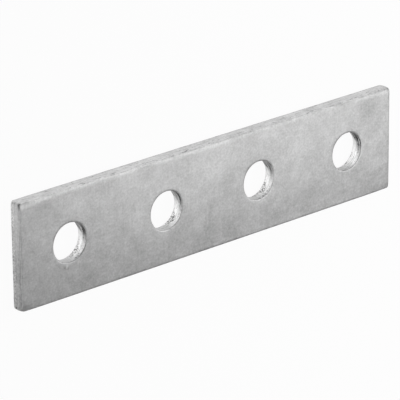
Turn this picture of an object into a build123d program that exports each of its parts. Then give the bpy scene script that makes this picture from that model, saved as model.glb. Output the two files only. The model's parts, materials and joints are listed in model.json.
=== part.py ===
from build123d import *
import os

# A mending plate: a length of hot-rolled flat bar, cropped at both ends, punched with one row of
# bolt holes and hot-dip galvanised. It is one piece of steel with nothing fixed to it.
#
# Millimetres. The origin is the centre of the back face, which the plate lies on. +X runs along
# the plate, +Y across it, and +Z out of the front face, where the punch and the blade went in.

# Flat bar, as rolled
width = 50.0
thickness = 6.0
arris_radius = 0.9  # rounded corners of the section, along the long edges

# Row of bolt holes, clearance for an M16 bolt
hole_count = 4
hole_diameter = 18.0
hole_pitch = 55.0
end_distance = 27.5  # from the centre of the last hole to the cropped end

# Wall of a punched hole: the rim drawn in by the punch, a smooth land, then the torn zone
rim_draw = 0.7
tear_height = 2.2  # from the back face up to the land
tear_flare = 0.3  # how much wider the hole is at the back, all round

# Cropped end, with the same three zones under the blade
crop_draw = 1.0
crop_tear_height = 2.8
crop_tear_slant = 0.35  # how far the torn zone falls back at the back face

# Edges that are only blunted, by dressing off the burr and by the zinc over it
corner_radius = 0.8
burr_radius = 0.3

half_length = (hole_count - 1) * hole_pitch / 2 + end_distance
hole_radius = hole_diameter / 2

os.makedirs("parts", exist_ok=True)

# What one stroke of the punch takes out of the plate.
with BuildPart() as punched_hole:
    with BuildSketch(Plane.XZ) as half_section:
        with BuildLine():
            Polyline(
                (hole_radius, thickness - rim_draw),
                (hole_radius, tear_height),
                (hole_radius + tear_flare, burr_radius),
                (hole_radius + tear_flare + burr_radius, 0),
                (0, 0),
                (0, thickness),
                (hole_radius + rim_draw, thickness),
            )
            RadiusArc(
                (hole_radius + rim_draw, thickness),
                (hole_radius, thickness - rim_draw),
                -rim_draw,
            )
        make_face()
    revolve(axis=Axis.Z)

with BuildPart() as plate:
    # Section of the rolled bar.
    with BuildSketch(Plane.YZ) as section:
        with Locations((0, thickness / 2)):
            RectangleRounded(width, thickness, arris_radius)
    extrude(amount=half_length, both=True)

    # Side view, for the two cropped ends.
    with BuildSketch(Plane.XZ) as side_view:
        with BuildLine():
            Polyline(
                (0, thickness),
                (half_length, thickness),
                (half_length, crop_tear_height),
                (half_length - crop_tear_slant, 0),
                (0, 0),
            )
            mirror(about=Plane.YZ)
        make_face()
        corners = side_view.vertices().group_by(Axis.Y)
        fillet(corners[-1], crop_draw)
        fillet(corners[0], burr_radius)
    extrude(amount=width, both=True, mode=Mode.INTERSECT)

    # Front view, for the blunted corners.
    with BuildSketch() as front_view:
        RectangleRounded(2 * half_length, width, corner_radius)
    extrude(amount=thickness, mode=Mode.INTERSECT)

    # The row of holes, punched from the front.
    with GridLocations(hole_pitch, 0, hole_count, 1):
        add(punched_hole.part, mode=Mode.SUBTRACT)

plate.part.label = "plate"
export_step(plate.part, "parts/plate.step")
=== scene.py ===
import json
import math

import bmesh
import bpy
import numpy as np
from mathutils import Matrix, Vector, noise


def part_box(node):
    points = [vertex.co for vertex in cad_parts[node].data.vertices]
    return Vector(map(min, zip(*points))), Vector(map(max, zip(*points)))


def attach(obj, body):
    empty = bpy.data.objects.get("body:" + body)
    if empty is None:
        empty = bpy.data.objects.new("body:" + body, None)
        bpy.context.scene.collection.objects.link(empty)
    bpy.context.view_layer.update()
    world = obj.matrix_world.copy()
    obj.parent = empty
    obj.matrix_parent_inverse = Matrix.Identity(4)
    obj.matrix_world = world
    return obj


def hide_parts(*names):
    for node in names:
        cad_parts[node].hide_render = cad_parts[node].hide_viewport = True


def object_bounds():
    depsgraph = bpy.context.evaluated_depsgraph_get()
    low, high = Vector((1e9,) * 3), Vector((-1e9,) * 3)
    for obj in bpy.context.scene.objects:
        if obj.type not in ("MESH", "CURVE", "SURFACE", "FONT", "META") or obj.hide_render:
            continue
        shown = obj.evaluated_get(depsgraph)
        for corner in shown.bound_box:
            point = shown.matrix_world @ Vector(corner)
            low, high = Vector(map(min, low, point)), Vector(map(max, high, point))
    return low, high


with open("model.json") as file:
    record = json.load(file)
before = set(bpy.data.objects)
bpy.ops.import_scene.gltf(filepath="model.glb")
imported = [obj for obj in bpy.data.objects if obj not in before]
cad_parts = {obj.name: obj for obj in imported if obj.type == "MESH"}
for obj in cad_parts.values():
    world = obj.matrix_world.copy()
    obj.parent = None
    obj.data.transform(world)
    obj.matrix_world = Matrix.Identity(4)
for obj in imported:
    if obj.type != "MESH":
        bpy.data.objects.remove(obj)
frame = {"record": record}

cad_low, cad_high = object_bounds()

# ------------------------------------------------------------------ the plate
# A length of hot-rolled flat bar, cropped off at both ends and punched with a row of bolt holes
# from the front, then dipped in molten zinc. The zinc leaves a dull grey skin, faintly clouded,
# with small pips where it drained off, and it barely covers the torn steel of holes and ends.

# All sizes of the plate are in millimetres.
MM = 0.001
plate_low, plate_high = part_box("plate")
length, width, thickness = (plate_high - plate_low) / MM
bores = [mount for mount in frame["record"]["mounts"] if mount["kind"] == "bore"]
hole_centres = sorted(bore["pos_m"][0] / MM for bore in bores)
hole_radius = bores[0]["dims"]["r_mm"]
hole_pitch = hole_centres[1] - hole_centres[0]

upper_arris = 0.9  # rounding of the bar's long edges: the upper one as rolled, the lower crisper
lower_arris = 0.4
corner_radius = 1.3
rim_draw = 0.25  # rim of a hole, drawn in by the punch
tear_height = 2.2  # torn zone of a hole wall, measured from the back face
tear_flare = 0.3
crop_draw = 1.0  # the same zones on a cropped end
crop_tear_height = 2.8
crop_tear_slant = 0.35
burr_radius = 0.3
far_front_radius = 0.4  # the far end, which the blade left crisp in front and rounded behind
far_back_radius = 2.0

side_steps = 64  # mesh steps along each side of the oblong of plate round a hole
corner_steps = 3  # how many of them turn half of one rounded corner
front_rings = 28  # mesh rings of each face, from the outline to the hole
back_rings = 14
edge_rows = 24  # mesh rows over an edge, from the front face to the back face
arc_points = 10  # points along each quarter turn of a profile, before it is divided into rows
weld_distance = 0.001  # points of two oblongs that are this close are one point


def arc(across, up, radius, start, end):
    """A quarter turn of a profile, as (distance across, height) pairs."""
    turns = np.radians(np.linspace(start, end, arc_points))
    return [(across + radius * math.cos(turn), up + radius * math.sin(turn)) for turn in turns]


def in_rows(profile):
    """The profile divided into edge_rows equal rows."""
    profile = np.array(profile)
    run = np.append(0, np.cumsum(np.hypot(*np.diff(profile, axis=0).T)))
    at = np.linspace(0, run[-1], edge_rows + 1)
    return np.column_stack([np.interp(at, run, profile[:, axis]) for axis in (0, 1)])


# Profiles, from the front face over the edge to the back face. The first is by radius from the
# hole's axis, and the others by distance in from the edge. Near is the left end, far the right.
hole_profile = in_rows(
    [
        *arc(hole_radius + rim_draw, thickness - rim_draw, rim_draw, 90, 180),
        (hole_radius, tear_height),
        (hole_radius + tear_flare, burr_radius),
        (hole_radius + tear_flare + burr_radius, 0),
    ]
)
upper_profile, lower_profile, far_profile = [
    in_rows([*arc(front, thickness - front, front, 90, 180), *arc(back, back, back, 180, 270)])
    for front, back in (
        (upper_arris, upper_arris),
        (lower_arris, lower_arris),
        (far_front_radius, far_back_radius),
    )
]
near_profile = in_rows(
    [
        *arc(crop_draw, thickness - crop_draw, crop_draw, 90, 180),
        (0, crop_tear_height),
        (crop_tear_slant, burr_radius),
        (crop_tear_slant + burr_radius, 0),
    ]
)


def side_of(start, end, round_start, round_end):
    """Points along one side of an oblong, up to but without its end, and how squarely each faces
    along X. A rounded corner takes its first or last few steps."""
    run = (end - start).length
    along = (end - start) / run
    out = Vector((along.y, -along.x))
    first = corner_steps if round_start else 0
    last = side_steps - (corner_steps if round_end else 0)
    straight = run - corner_radius * (round_start + round_end)
    points = []
    for step in range(side_steps):
        if step < first:
            turn = math.radians(45) * (step / first - 1)
        elif step > last:
            turn = math.radians(45) * (step - last) / corner_steps
        else:
            turn = 0.0
        share = min(max((step - first) / (last - first), 0), 1)
        reach = corner_radius * round_start + straight * share
        facing = out * math.cos(turn) + along * math.sin(turn)
        at = start + along * reach + (facing - out) * corner_radius
        points.append((at.x, at.y, facing.x**2))
    return points


def oblong(hole, end_inset, upper_inset, lower_inset):
    """The outline of the plate round one hole, from its lower right corner: X, Y and how squarely
    each point faces along X. Only the plate's own edges are inset, and only its corners rounded."""
    is_first = hole == 0
    is_last = hole == len(hole_centres) - 1
    left = -length / 2 + end_inset if is_first else hole_centres[hole] - hole_pitch / 2
    right = length / 2 - end_inset if is_last else hole_centres[hole] + hole_pitch / 2
    top, bottom = width / 2 - upper_inset, lower_inset - width / 2
    corners = [Vector(at) for at in ((right, bottom), (right, top), (left, top), (left, bottom))]
    rounded = [is_last, is_last, is_first, is_first]
    outline = []
    for corner in range(4):
        after = (corner + 1) % 4
        side = np.array(side_of(corners[corner], corners[after], rounded[corner], rounded[after]))
        if not (rounded[corner] or rounded[after]):
            side[:, 2] = 0
        outline.append(side)
    return np.concatenate(outline)


def edge_loop(hole, row):
    """The outline of the plate round one hole, on one row of the edge."""
    end_profile = near_profile if hole == 0 else far_profile
    end_inset, end_height = end_profile[row]
    upper_inset, upper_height = upper_profile[row]
    lower_inset, lower_height = lower_profile[row]
    x, y, end_share = oblong(hole, end_inset, upper_inset, lower_inset).T
    side_height = np.where(y > 0, upper_height, lower_height)
    return np.column_stack([x, y, side_height + (end_height - side_height) * end_share])


def hole_loop(hole, row):
    """One row round a hole, with its points in step with those of the outline."""
    radius, height = hole_profile[row]
    turns = np.radians(-45) + np.arange(4 * side_steps) * 2 * math.pi / (4 * side_steps)
    around = [hole_centres[hole] + radius * np.cos(turns), radius * np.sin(turns)]
    return np.column_stack([*around, np.full_like(turns, height)])


def between(loop_a, loop_b, rings):
    """The rings of a face from one loop up to, but without, the next."""
    return [loop_a + (loop_b - loop_a) * ring / rings for ring in range(rings)]


def bare_plate():
    """The plate as cropped and punched, in closed quads."""
    body = bmesh.new()
    for hole in range(len(hole_centres)):
        loops = between(edge_loop(hole, 0), hole_loop(hole, 0), front_rings)
        loops += [hole_loop(hole, row) for row in range(edge_rows)]
        loops += between(hole_loop(hole, edge_rows), edge_loop(hole, edge_rows), back_rings)
        faces_end = len(loops)
        loops += [edge_loop(hole, row) for row in range(edge_rows, 0, -1)]
        rows = [[body.verts.new(point) for point in loop] for loop in loops]
        is_outer = [True] * (4 * side_steps)
        for step in range(side_steps):
            is_outer[step] = hole == len(hole_centres) - 1
            is_outer[step + 2 * side_steps] = hole == 0
        for index, row in enumerate(rows):
            below = rows[(index + 1) % len(rows)]
            for step in range(4 * side_steps):
                if index < faces_end or is_outer[step]:
                    onward = (step + 1) % (4 * side_steps)
                    body.faces.new((row[step], row[onward], below[onward], below[step]))
    bmesh.ops.delete(body, geom=[v for v in body.verts if not v.link_faces], context="VERTS")
    bmesh.ops.remove_doubles(body, verts=body.verts, dist=weld_distance)
    return body


def smooth_step(value, low, high):
    """0 up to low, 1 from high, and smooth between. It falls where low is the higher."""
    share = min(max((value - low) / (high - low), 0.0), 1.0)
    return share * share * (3 - 2 * share)


def hump(distance, reach):
    """1 at no distance, falling away like a bell, to about a third at its reach."""
    return math.exp(-((distance / reach) ** 2))


def towards(turn, side, sharpness=1.0):
    """1 on this side of a hole, falling to 0 a quarter turn away, or sooner if it is sharper."""
    return max(math.cos(turn - side), 0.0) ** sharpness


# Wall of a punched hole. The punch ran a little off the middle of its die, so each hole is torn
# furthest up the wall on one side. One side of the wall is painted darker towards the front rim, a
# painted shade, and the side beside the torn one is painted lighter, a painted highlight, where the
# land is also smoother. Pairs of heights are where something starts to show and where it shows in full.
shaded_side, lit_side, torn_side = math.radians(38), math.radians(-30), math.radians(-48)
low_side = math.radians(-100)  # next to the plate's lower edge
hole_tear = [2.6, 2.8, 2.4, 0.3]  # how far up the torn side is torn, above the rest
rest_tear = 0.8  # how far up the rest is torn, and how far that wanders up and down
rest_torn = 0.15  # how torn the rest looks beside the torn side
tear_blend = 0.4  # the torn zone fades over this much above and below its top
hole_painted_shade = [1.5, 1.3, 1.1, 1.7]  # how much painted shade the shaded side has, hole by hole
shade_foot, shade_foot_drop = 2.8, 4.4  # height where the painted shade starts, and its drop past the shaded side
shade_drop_from, shade_drop_to = shaded_side - 0.6, shaded_side + 0.2
shade_blend = 1.4  # the height over which the painted shade comes in
# painted shade over the land of the shaded side, and more of it towards the front rim
land_shade, rim_extra_shade, rim_extra_heights = 0.95, 0.25, (2.5, 5.5)
# painted shade on each wall's side next to the plate's lower edge
low_side_shade = 0.3
rim_skin_heights, back_skin_heights = (4.5, 5.9), (0.6, 0.1)  # hardly any zinc between them


def hole_wall(hole, turn, height, wander):
    """How torn the wall of a hole is, how smooth with a painted highlight, how dark with painted
    shade, and the share of the zinc skin on it.
    """
    tear_top = rest_tear + rest_tear * wander
    tear_top += hole_tear[hole] * towards(turn, torn_side, sharpness=10)
    torn = smooth_step(height, tear_top + tear_blend, tear_top - tear_blend)
    torn *= rest_torn + (1 - rest_torn) * towards(turn, torn_side, sharpness=8)
    clean = (1 - torn) * towards(turn, lit_side, sharpness=5)
    shade_from = shade_foot - shade_foot_drop * smooth_step(turn, shade_drop_from, shade_drop_to) + wander
    dull = hole_painted_shade[hole] * towards(turn, shaded_side)
    dull *= smooth_step(height, shade_from, shade_from + shade_blend)
    dull *= land_shade + rim_extra_shade * smooth_step(height, *rim_extra_heights)
    dull += low_side_shade * towards(turn, low_side, sharpness=2)
    skin_share = max(smooth_step(height, *rim_skin_heights), smooth_step(height, *back_skin_heights))
    return torn, clean, dull, skin_share


# Cropped ends. They are faintly torn under the blade's cut, a little duller all over, and painted
# darker towards the lower edge, a painted shade.
end_torn, end_tear_wander = 0.25, 0.3
end_blend_over, end_blend_under = 0.2, 0.3  # the fade of the torn zone, above and below its top
# the second is painted shade towards the lower edge
end_dull, end_low_shade = 0.13, 0.45
end_low_from, end_low_to, end_low_wander = 18, -12, 4  # where along the end the low dull comes in
end_creases = [3.1, 5.0]  # heights of the lines that the blade left
# The blade's lines are only painted darker, as painted shade, with no relief.
crease_painted_shade, crease_width, crease_middle = 0.07, 0.22, 0.6


def cropped_end(place, wander):
    """How torn and dull a cropped end is, with painted shade towards its lower edge, and how much
    painted shade lies in the blade's lines.
    """
    tear_top = crop_tear_height + end_tear_wander * wander
    torn = end_torn * smooth_step(place.z, tear_top + end_blend_over, tear_top - end_blend_under)
    low_share = smooth_step(place.y + end_low_wander * wander, end_low_from, end_low_to)
    dull = end_dull + end_low_shade * low_share
    hollow = 0.0
    for crease in end_creases:
        hollow += crease_painted_shade * (crease_middle + wander) * hump(place.z - crease, crease_width)
    return torn, dull, hollow


# Zinc and torn steel. Relief is height above the bare surface, which lies a zinc skin's depth
# inside the sizes above, so that no pip stands out of them.
zinc_skin = 0.06
swell, swell_size = 0.04, 9.0  # slow waves of the zinc
ripple, ripple_size = 0.014, 2.2
wander_size = 3.0  # waves in where the torn and dull zones end
tear_depth, tear_size, tear_middle = 0.16, 0.8, 0.4  # broken grains of the torn zones
grain_fall, grain_step, grain_levels = 0.8, 2.0, 3  # how each finer level of grains adds to it
face_margin, edge_margin = 0.05, 0.15  # walls and edges start this far from the two faces
front_from = 2.6  # height from which the front's relief and clouds fade in

# Where the blade and the punch bore down, the front face dips a little towards them.
rim_dish, rim_dish_reach = 0.05, 1.0
end_dish, end_dish_reach = 0.10, 1.5
corner_dip = 0.45  # the upper left corner of the bar, pulled down by the blade
other_corners = 0.3  # the share of that on the other corners
corner_run, corner_depth = (13, 0), (3.2, 0.4)  # its fade along the edge and in from it
# painted shade on the upper corners, where the face dips
corner_shade = 0.25

# The long edges. The upper one is unevenly rounded, and painted shade over its front rounding
# dims the highlight there, more so to the right; both are painted darker at the foot, next to the
# table, as painted shade.
arris_wear, arris_wear_size, arris_wear_middle, arris_reach = 0.26, 9.0, 0.5, 1.2
# Painted shade over the upper edge's front rounding, which dims its highlight, and more of it to the
# right.
ridge_shade_inset, ridge_shade_reach = 0.6, 0.7
ridge_shade, ridge_right_shade, ridge_shade_from, ridge_shade_to = 0.12, 0.45, -length / 2, 10
# Painted shade at the foot of both long edges, next to the table.
foot_shade, foot_heights = 0.7, (1.5, 0.4)

# On the front: painted shade along the lower rim of each hole, where it dims the rim's highlight,
# and over the lower half of the face; and soft clouds, darker or lighter, by X, Y, radius and how dark,
# or how bright where that is less than 0.
rim_reach, rim_painted_shade = 0.5, 0.55
low_half_shade, low_half_from, low_half_to = 0.12, 8, -20
clouds = [
    (-71, -19, 9, 0.24),
    (8, -18, 14, 0.20),
    (97, 20, 10, 0.27),
    (18, 20, 8, 0.13),
    (40, -19, 8, 0.13),
    (-80, 13, 8, -0.15),
    (-44, 11, 8, -0.13),
    (-8, 2, 9, -0.13),
    (73, 11, 9, -0.13),
    (102, 0, 9, -0.12),
]

# Pips of zinc (+) and chips (-): what the place is measured from, place, radius and height.
hole_fronts = [Vector((centre, 0, thickness)) for centre in hole_centres]
upper_left = Vector((-length / 2, width / 2, thickness))
lower_left = Vector((-length / 2, -width / 2, thickness))
upper_edge = Vector((0, width / 2, thickness))
marks = [
    (hole_fronts[0], (-2.1, -11.0, 0.0), 0.6, 0.14),
    (hole_fronts[0], (-3.2, -11.2, 0.0), 0.4, -0.12),
    (hole_fronts[0], (-1.4, -12.0, 0.0), 0.4, -0.10),
    (hole_fronts[0], (4.1, -10.5, 0.0), 0.6, 0.08),
    (hole_fronts[0], (4.9, -7.6, -0.8), 0.6, -0.24),
    (hole_fronts[0], (3.7, -8.2, -0.7), 0.4, -0.24),
    (hole_fronts[0], (5.7, -7.0, -1.2), 0.4, -0.24),
    (hole_fronts[1], (-1.2, -9.2, -0.6), 1.0, 0.07),
    (hole_fronts[1], (8.7, -2.1, -0.5), 0.5, -0.15),
    (hole_fronts[2], (4.6, -7.8, -0.7), 0.6, -0.2),
    (hole_fronts[2], (6.0, -6.8, -0.8), 0.5, -0.2),
    (hole_fronts[2], (3.3, -8.4, -0.7), 0.5, -0.2),
    (hole_fronts[2], (1.0, -9.0, -0.7), 0.5, -0.18),
    (upper_left, (0.8, -0.4, -0.3), 0.4, -0.05),
    (upper_left, (0.2, -1.0, -1.0), 0.4, -0.08),
    (upper_left, (0.0, -0.6, -2.9), 0.4, -0.12),
    (lower_left, (0.0, 1.4, -3.8), 0.5, -0.2),
    (upper_edge, (12.0, 0.0, -1.0), 1.4, -0.06),
    (upper_edge, (17.0, 0.0, -1.0), 1.4, -0.05),
    (upper_edge, (81.0, 0.0, -0.6), 1.3, 0.05),
]
mark_limit = 3  # a mark ends at this many of its radii


def looks_at(place):
    """How far the surface at a point moves to where the zinc ends, and what the finish needs to
    know there. Hollow is more than 0 in a chip and less than 0 on a pip."""
    hole = min(range(len(hole_centres)), key=lambda number: abs(place.x - hole_centres[number]))
    across, up = place.x - hole_centres[hole], place.y
    turn = math.atan2(up, across)
    from_wall = max(math.hypot(across, up) - hole_radius, 0.0)
    from_end = max(length / 2 - abs(place.x), 0.0)
    from_arris = max(width / 2 - abs(place.y), 0.0)
    from_front = thickness - place.z
    is_front = smooth_step(place.z, front_from, thickness)
    wander = noise.noise(place / wander_size)

    edge = torn = clean = dull = hollow = 0.0
    skin = zinc_skin
    if face_margin < place.z < thickness - face_margin and from_wall < rim_draw:
        edge = 1.0
        torn, clean, dull, skin_share = hole_wall(hole, turn, place.z, wander)
        skin *= skin_share
    elif edge_margin < place.z < thickness - edge_margin:
        if from_end < crop_tear_slant + burr_radius:
            torn, dull, hollow = cropped_end(place, wander)
        elif from_arris < upper_arris / 2:
            edge = 1.0
            dull = foot_shade * smooth_step(place.z, *foot_heights)

    relief = swell * noise.noise(place / swell_size) + ripple * noise.noise(place / ripple_size)
    grains = noise.fractal(place / tear_size, grain_fall, grain_step, grain_levels)
    relief -= torn * tear_depth * (tear_middle + grains)
    relief -= is_front * rim_dish * math.exp(-from_wall / rim_dish_reach)
    relief -= is_front * end_dish * math.exp(-from_end / end_dish_reach)
    corner = is_front * smooth_step(from_end, *corner_run) * smooth_step(from_arris, *corner_depth)
    relief -= corner_dip * corner * (1.0 if place.x < 0 < place.y else other_corners)

    dull += low_half_shade * is_front * smooth_step(place.y, low_half_from, low_half_to)
    for cloud_x, cloud_y, radius, strength in clouds:
        away = (place - Vector((cloud_x, cloud_y, thickness))).length
        dull += strength * is_front * hump(away, radius)
    if place.y > 0:
        worn = hump(math.hypot(from_arris, from_front), arris_reach)
        relief -= arris_wear * (arris_wear_middle + noise.noise(place / arris_wear_size)) * worn
        ridge_shaded = hump(math.hypot(from_arris - ridge_shade_inset, from_front), ridge_shade_reach)
        right_share = smooth_step(place.x, ridge_shade_from, ridge_shade_to)
        dull += ridge_shaded * (ridge_shade + ridge_right_shade * right_share) + corner_shade * corner
    rim = hump(math.hypot(from_wall, from_front), rim_reach)
    dull += rim_painted_shade * rim * towards(turn, low_side)

    for origin, offset, radius, rise in marks:
        away = (place - origin - Vector(offset)).length
        if away < mark_limit * radius:
            mark = rise * hump(away, radius)
            relief += mark
            # Each mark is also painted, darker in a chip as painted shade and lighter on a pip as
            # painted light.
            hollow -= mark
    return min(relief, skin) - skin, (edge, torn, clean, dull, hollow)


def galvanised(body):
    """Moves the bare plate's surface to where the zinc ends, and keeps what the finish needs to
    know at each point."""
    names = ("edge", "torn", "clean", "dull", "hollow")
    layers = [body.verts.layers.float.new(name) for name in names]
    body.normal_update()
    places = [(vertex, vertex.co.copy(), vertex.normal.copy()) for vertex in body.verts]
    for vertex, place, normal in places:
        move, looks = looks_at(place)
        vertex.co = place + normal * move
        for layer, value in zip(layers, looks):
            vertex[layer] = value


body = bare_plate()
galvanised(body)
for face in body.faces:
    face.smooth = True
plate_mesh = bpy.data.meshes.new("galvanised_plate")
body.to_mesh(plate_mesh)
body.free()
plate_mesh.transform(Matrix.Scale(MM, 4))
plate = bpy.data.objects.new("galvanised_plate", plate_mesh)
bpy.context.scene.collection.objects.link(plate)
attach(plate, "root")
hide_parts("plate")


class Wire:
    """One output in a material. Arithmetic on wires adds Math nodes, and a plain number may stand
    for a wire."""

    def __init__(self, tree, socket=None):
        self.tree = tree
        self.socket = socket

    def node(self, kind, settings=None, sockets=None, output=0):
        """Adds a node, with its settings first and then the values or wires of its sockets."""
        made = self.tree.nodes.new("ShaderNode" + kind)
        for name, value in (settings or {}).items():
            setattr(made, name, value)
        for name, value in (sockets or {}).items():
            if isinstance(value, Wire):
                self.tree.links.new(value.socket, made.inputs[name])
            else:
                made.inputs[name].default_value = value
        return Wire(self.tree, made.outputs[output] if output is not None else None)

    def math(self, operation, first, second=0.0):
        return self.node("Math", {"operation": operation}, {0: first, 1: second})

    def __add__(self, other):
        return self.math("ADD", self, other)

    def __sub__(self, other):
        return self.math("SUBTRACT", self, other)

    def __mul__(self, other):
        return self.math("MULTIPLY", self, other)

    __radd__ = __add__
    __rmul__ = __mul__

    def __rsub__(self, other):
        return self.math("SUBTRACT", other, self)

    def between(self, low, high):
        """0 up to low, 1 from high, and smooth between. It falls where low is the higher."""
        settings = {"interpolation_type": "SMOOTHSTEP"}
        return self.node("MapRange", settings, {"Value": self, "From Min": low, "From Max": high})


def mixed(share, first, second):
    """A colour between two. The numbers are the Mix node's sockets for colours."""
    return share.node("Mix", {"data_type": "RGBA"}, {0: share, 6: first, 7: second}, output=2)


def grey(level, blue=1.012):
    """A zinc grey, a little to the blue."""
    return (level, level, min(level * blue, 1.0), 1)


def swing(pattern, amount):
    """A pattern as an even swing about 0, by this much from its least to its most."""
    return (pattern - 0.5) * amount


# Tones of the finish, from black at 0 to white at 1, and how far each state of the surface lifts
# or lowers them. The edge lift is painted light on the narrow edges and hole walls.
zinc_tone = 0.545
edge_painted_light, painted_highlight_lift, torn_lift = 0.08, 0.34, 0.10
dull_and_shade_drop, fleck_drop, hollow_painted_shade = 0.32, 0.25, 1.8
zinc_roughness = 0.42
bump_strength, bump_depth = 0.5, 0.0001


def galvanised_finish():
    """Dull clouded zinc with coarse dark torn zones, a painted highlight on the smoother lands of the
    holes, painted light on the edges, and painted shade where the mesh marks it.
    """
    material = bpy.data.materials.new("hot_dip_zinc")
    material.use_nodes = True
    tree = material.node_tree
    tree.nodes.clear()
    start = Wire(tree)
    position = start.node("TexCoord", output="Object")

    def pattern(size, detail=3.0, rough=0.5):
        """Noise with lumps of this size, one number or one each way, in millimetres."""
        sizes = (size,) * 3 if isinstance(size, float) else size
        scale = tuple(1 / MM / part for part in sizes)
        at = start.node("VectorMath", {"operation": "MULTIPLY"}, {0: position, 1: scale})
        sockets = {"Vector": at, "Scale": 1.0, "Detail": detail, "Roughness": rough}
        return start.node("TexNoise", None, sockets)

    def known(name):
        """What the mesh keeps under this name."""
        return start.node("Attribute", {"attribute_name": name}, output="Fac")

    edge, torn, clean, dull, hollow = map(known, ("edge", "torn", "clean", "dull", "hollow"))
    clouding = pattern(16.0)
    blotches = pattern(6.0)
    mottle = pattern(2.6)
    grain = pattern(1.0, 2.0, 0.6)
    rolled = pattern((1.6, 14.0, 14.0), 2.0)
    streaks = pattern((9.0, 9.0, 0.8), 2.0, 0.6)
    flecks = pattern((2.6, 1.4, 0.8), 2.0, 0.6).between(0.56, 0.70)
    broken = pattern(0.7, 2.0, 0.7)

    tone = zinc_tone + swing(clouding, 0.20) + swing(blotches, 0.15) + swing(mottle, 0.18)
    tone = tone + swing(grain, 0.32) + swing(rolled, 0.06)
    # The clean land of the hole walls is painted lighter, a painted highlight, besides being smoother.
    tone = tone + edge * (edge_painted_light + swing(streaks, 0.4)) + clean * (painted_highlight_lift + swing(streaks, 0.8))
    # Dull darkens by dull zinc and by painted shade together.
    tone = tone - dull * (dull_and_shade_drop + swing(streaks, edge * 1.4)) - flecks * edge * fleck_drop
    # Hollow is painted shade in chips and the blade's lines, and painted light on pips.
    tone = tone + torn * (swing(broken, 5.0) + torn_lift) - hollow * hollow_painted_shade
    roughness = zinc_roughness + swing(mottle, 0.12) + torn * 0.1 - clean * 0.2
    height = swing(mottle, 0.5) + swing(grain, 0.35) + torn * swing(broken, 1.5)
    sockets = {"Strength": bump_strength, "Distance": bump_depth, "Height": height}
    bump = start.node("Bump", None, sockets)
    colour = mixed(tone, grey(0.0), grey(1.0))
    finish = {"Base Color": colour, "Roughness": roughness, "Metallic": 1.0, "Normal": bump}
    shader = start.node("BsdfPrincipled", None, finish)
    start.node("OutputMaterial", None, {"Surface": shader}, output=None)
    return material


plate_mesh.materials.append(galvanised_finish())

# ------------------------------------------------------------------ the table top
# A plain white board that the plate lies on, back face down. It shows as white to the eye and in
# the metal, and keeps a faint shadow.
floor_size = 6.0
floor_drop = 0.00005  # a hair below the plate, so that the two faces don't share a plane
floor_z = cad_low.z - floor_drop
half = floor_size / 2
floor_mesh = bpy.data.meshes.new("table_top")
floor_mesh.from_pydata(
    [(-half, -half, floor_z), (half, -half, floor_z), (half, half, floor_z), (-half, half, floor_z)],
    [],
    [(0, 1, 2, 3)],
)
table_top = bpy.data.objects.new("table_top", floor_mesh)
bpy.context.scene.collection.objects.link(table_top)

white = (1, 1, 1, 1)
board_white = (0.8, 0.8, 0.8, 1)
white_share = 0.95  # the rest is the board itself, which takes the shadow
floor_material = bpy.data.materials.new("white_board")
floor_material.use_nodes = True
tree = floor_material.node_tree
tree.nodes.clear()
start = Wire(tree)
seen, mirrored, through = [
    start.node("LightPath", output="Is " + ray + " Ray") for ray in ("Camera", "Glossy", "Transmission")
]
board = start.node("BsdfDiffuse", None, {"Color": board_white})
glow = start.node("Emission", None, {"Color": white, "Strength": 1.0})
shown_white = (seen + mirrored + through) * white_share
surface = start.node("MixShader", None, {0: shown_white, 1: board, 2: glow})
start.node("OutputMaterial", None, {"Surface": surface}, output=None)
floor_mesh.materials.append(floor_material)

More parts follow.
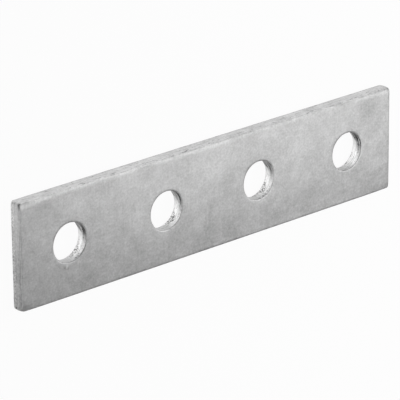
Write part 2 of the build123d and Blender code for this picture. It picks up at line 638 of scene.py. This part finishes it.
# ------------------------------------------------------------------ light
# Soft studio light: a room that is white all round and dim overhead, with one large lamp over the
# right half of the plate, a tall one behind it, and two weak ones on the left.
wall_top, ceiling_from = 0.08, 0.3  # how far up a direction points, from level at 0 to 1 overhead
wall_light, ceiling_light = 1.0, 0.162
world = bpy.data.worlds.new("studio")
bpy.context.scene.world = world
world.use_nodes = True
tree = world.node_tree
tree.nodes.clear()
start = Wire(tree)
direction = start.node("TexCoord", output="Generated")
upwards = start.node("SeparateXYZ", None, {"Vector": direction}, output="Z")
overhead = upwards.between(wall_top, ceiling_from)
walls = start.node("Background", None, {"Color": white, "Strength": wall_light})
ceiling = start.node("Background", None, {"Color": white, "Strength": ceiling_light})
surface = start.node("MixShader", None, {0: overhead, 1: walls, 2: ceiling})
start.node("OutputWorld", None, {"Surface": surface}, output=None)


def soft_lamp(name, place, aim, size, power):
    """An oblong lamp of this width and height in metres, turned to a point."""
    light = bpy.data.lights.new(name, "AREA")
    light.shape = "RECTANGLE"
    light.size, light.size_y = size
    light.energy = power
    lamp = bpy.data.objects.new(name, light)
    lamp.location = place
    lamp.rotation_mode = "QUATERNION"
    lamp.rotation_quaternion = (Vector(aim) - Vector(place)).to_track_quat("-Z", "Y")
    lamp.visible_camera = False
    bpy.context.scene.collection.objects.link(lamp)


soft_lamp("key", (0.525, 0.1, 0.45), (0.525, 0.1, 0.0), (0.75, 0.6), 2.9)
soft_lamp("far_screen", (0.84, 1.0, 0.43), (0.0, 0.0, 0.43), (1.4, 0.86), 3.5)
soft_lamp("left_screen", (-1.09, -0.51, 0.45), (0.0, 0.0, 0.45), (0.8, 0.9), 1.1)
soft_lamp("near", (-0.3, -0.3, 0.7), (0.0, 0.0, 0.0), (0.6, 0.6), 1.2)

# ------------------------------------------------------------------ camera
# A long lens, held to the left of the plate and above it, and turned so that the row of holes
# rises to the right. It looks along camera_back reversed, with camera_up towards the top.
camera_aim = Vector((-0.0053, -0.0016, 0.003))
camera_back = Vector((-0.617406, 0.359658, 0.699611))
camera_up = Vector((0.245677, 0.933035, -0.262848))
camera_distance = 1.448
camera_data = bpy.data.cameras.new("camera")
camera_data.lens = 293.5
camera_data.sensor_width = 36.0
camera_data.clip_start = 0.1
camera_data.clip_end = 50.0
camera = bpy.data.objects.new("camera", camera_data)
bpy.context.scene.collection.objects.link(camera)
side = camera_up.cross(camera_back).normalized()
top = camera_back.cross(side).normalized()
camera_turn = Matrix((side, top, camera_back.normalized())).transposed().to_4x4()
camera.matrix_world = Matrix.Translation(camera_aim + camera_back * camera_distance) @ camera_turn
bpy.context.scene.camera = camera
bpy.context.scene.view_settings.view_transform = "Standard"
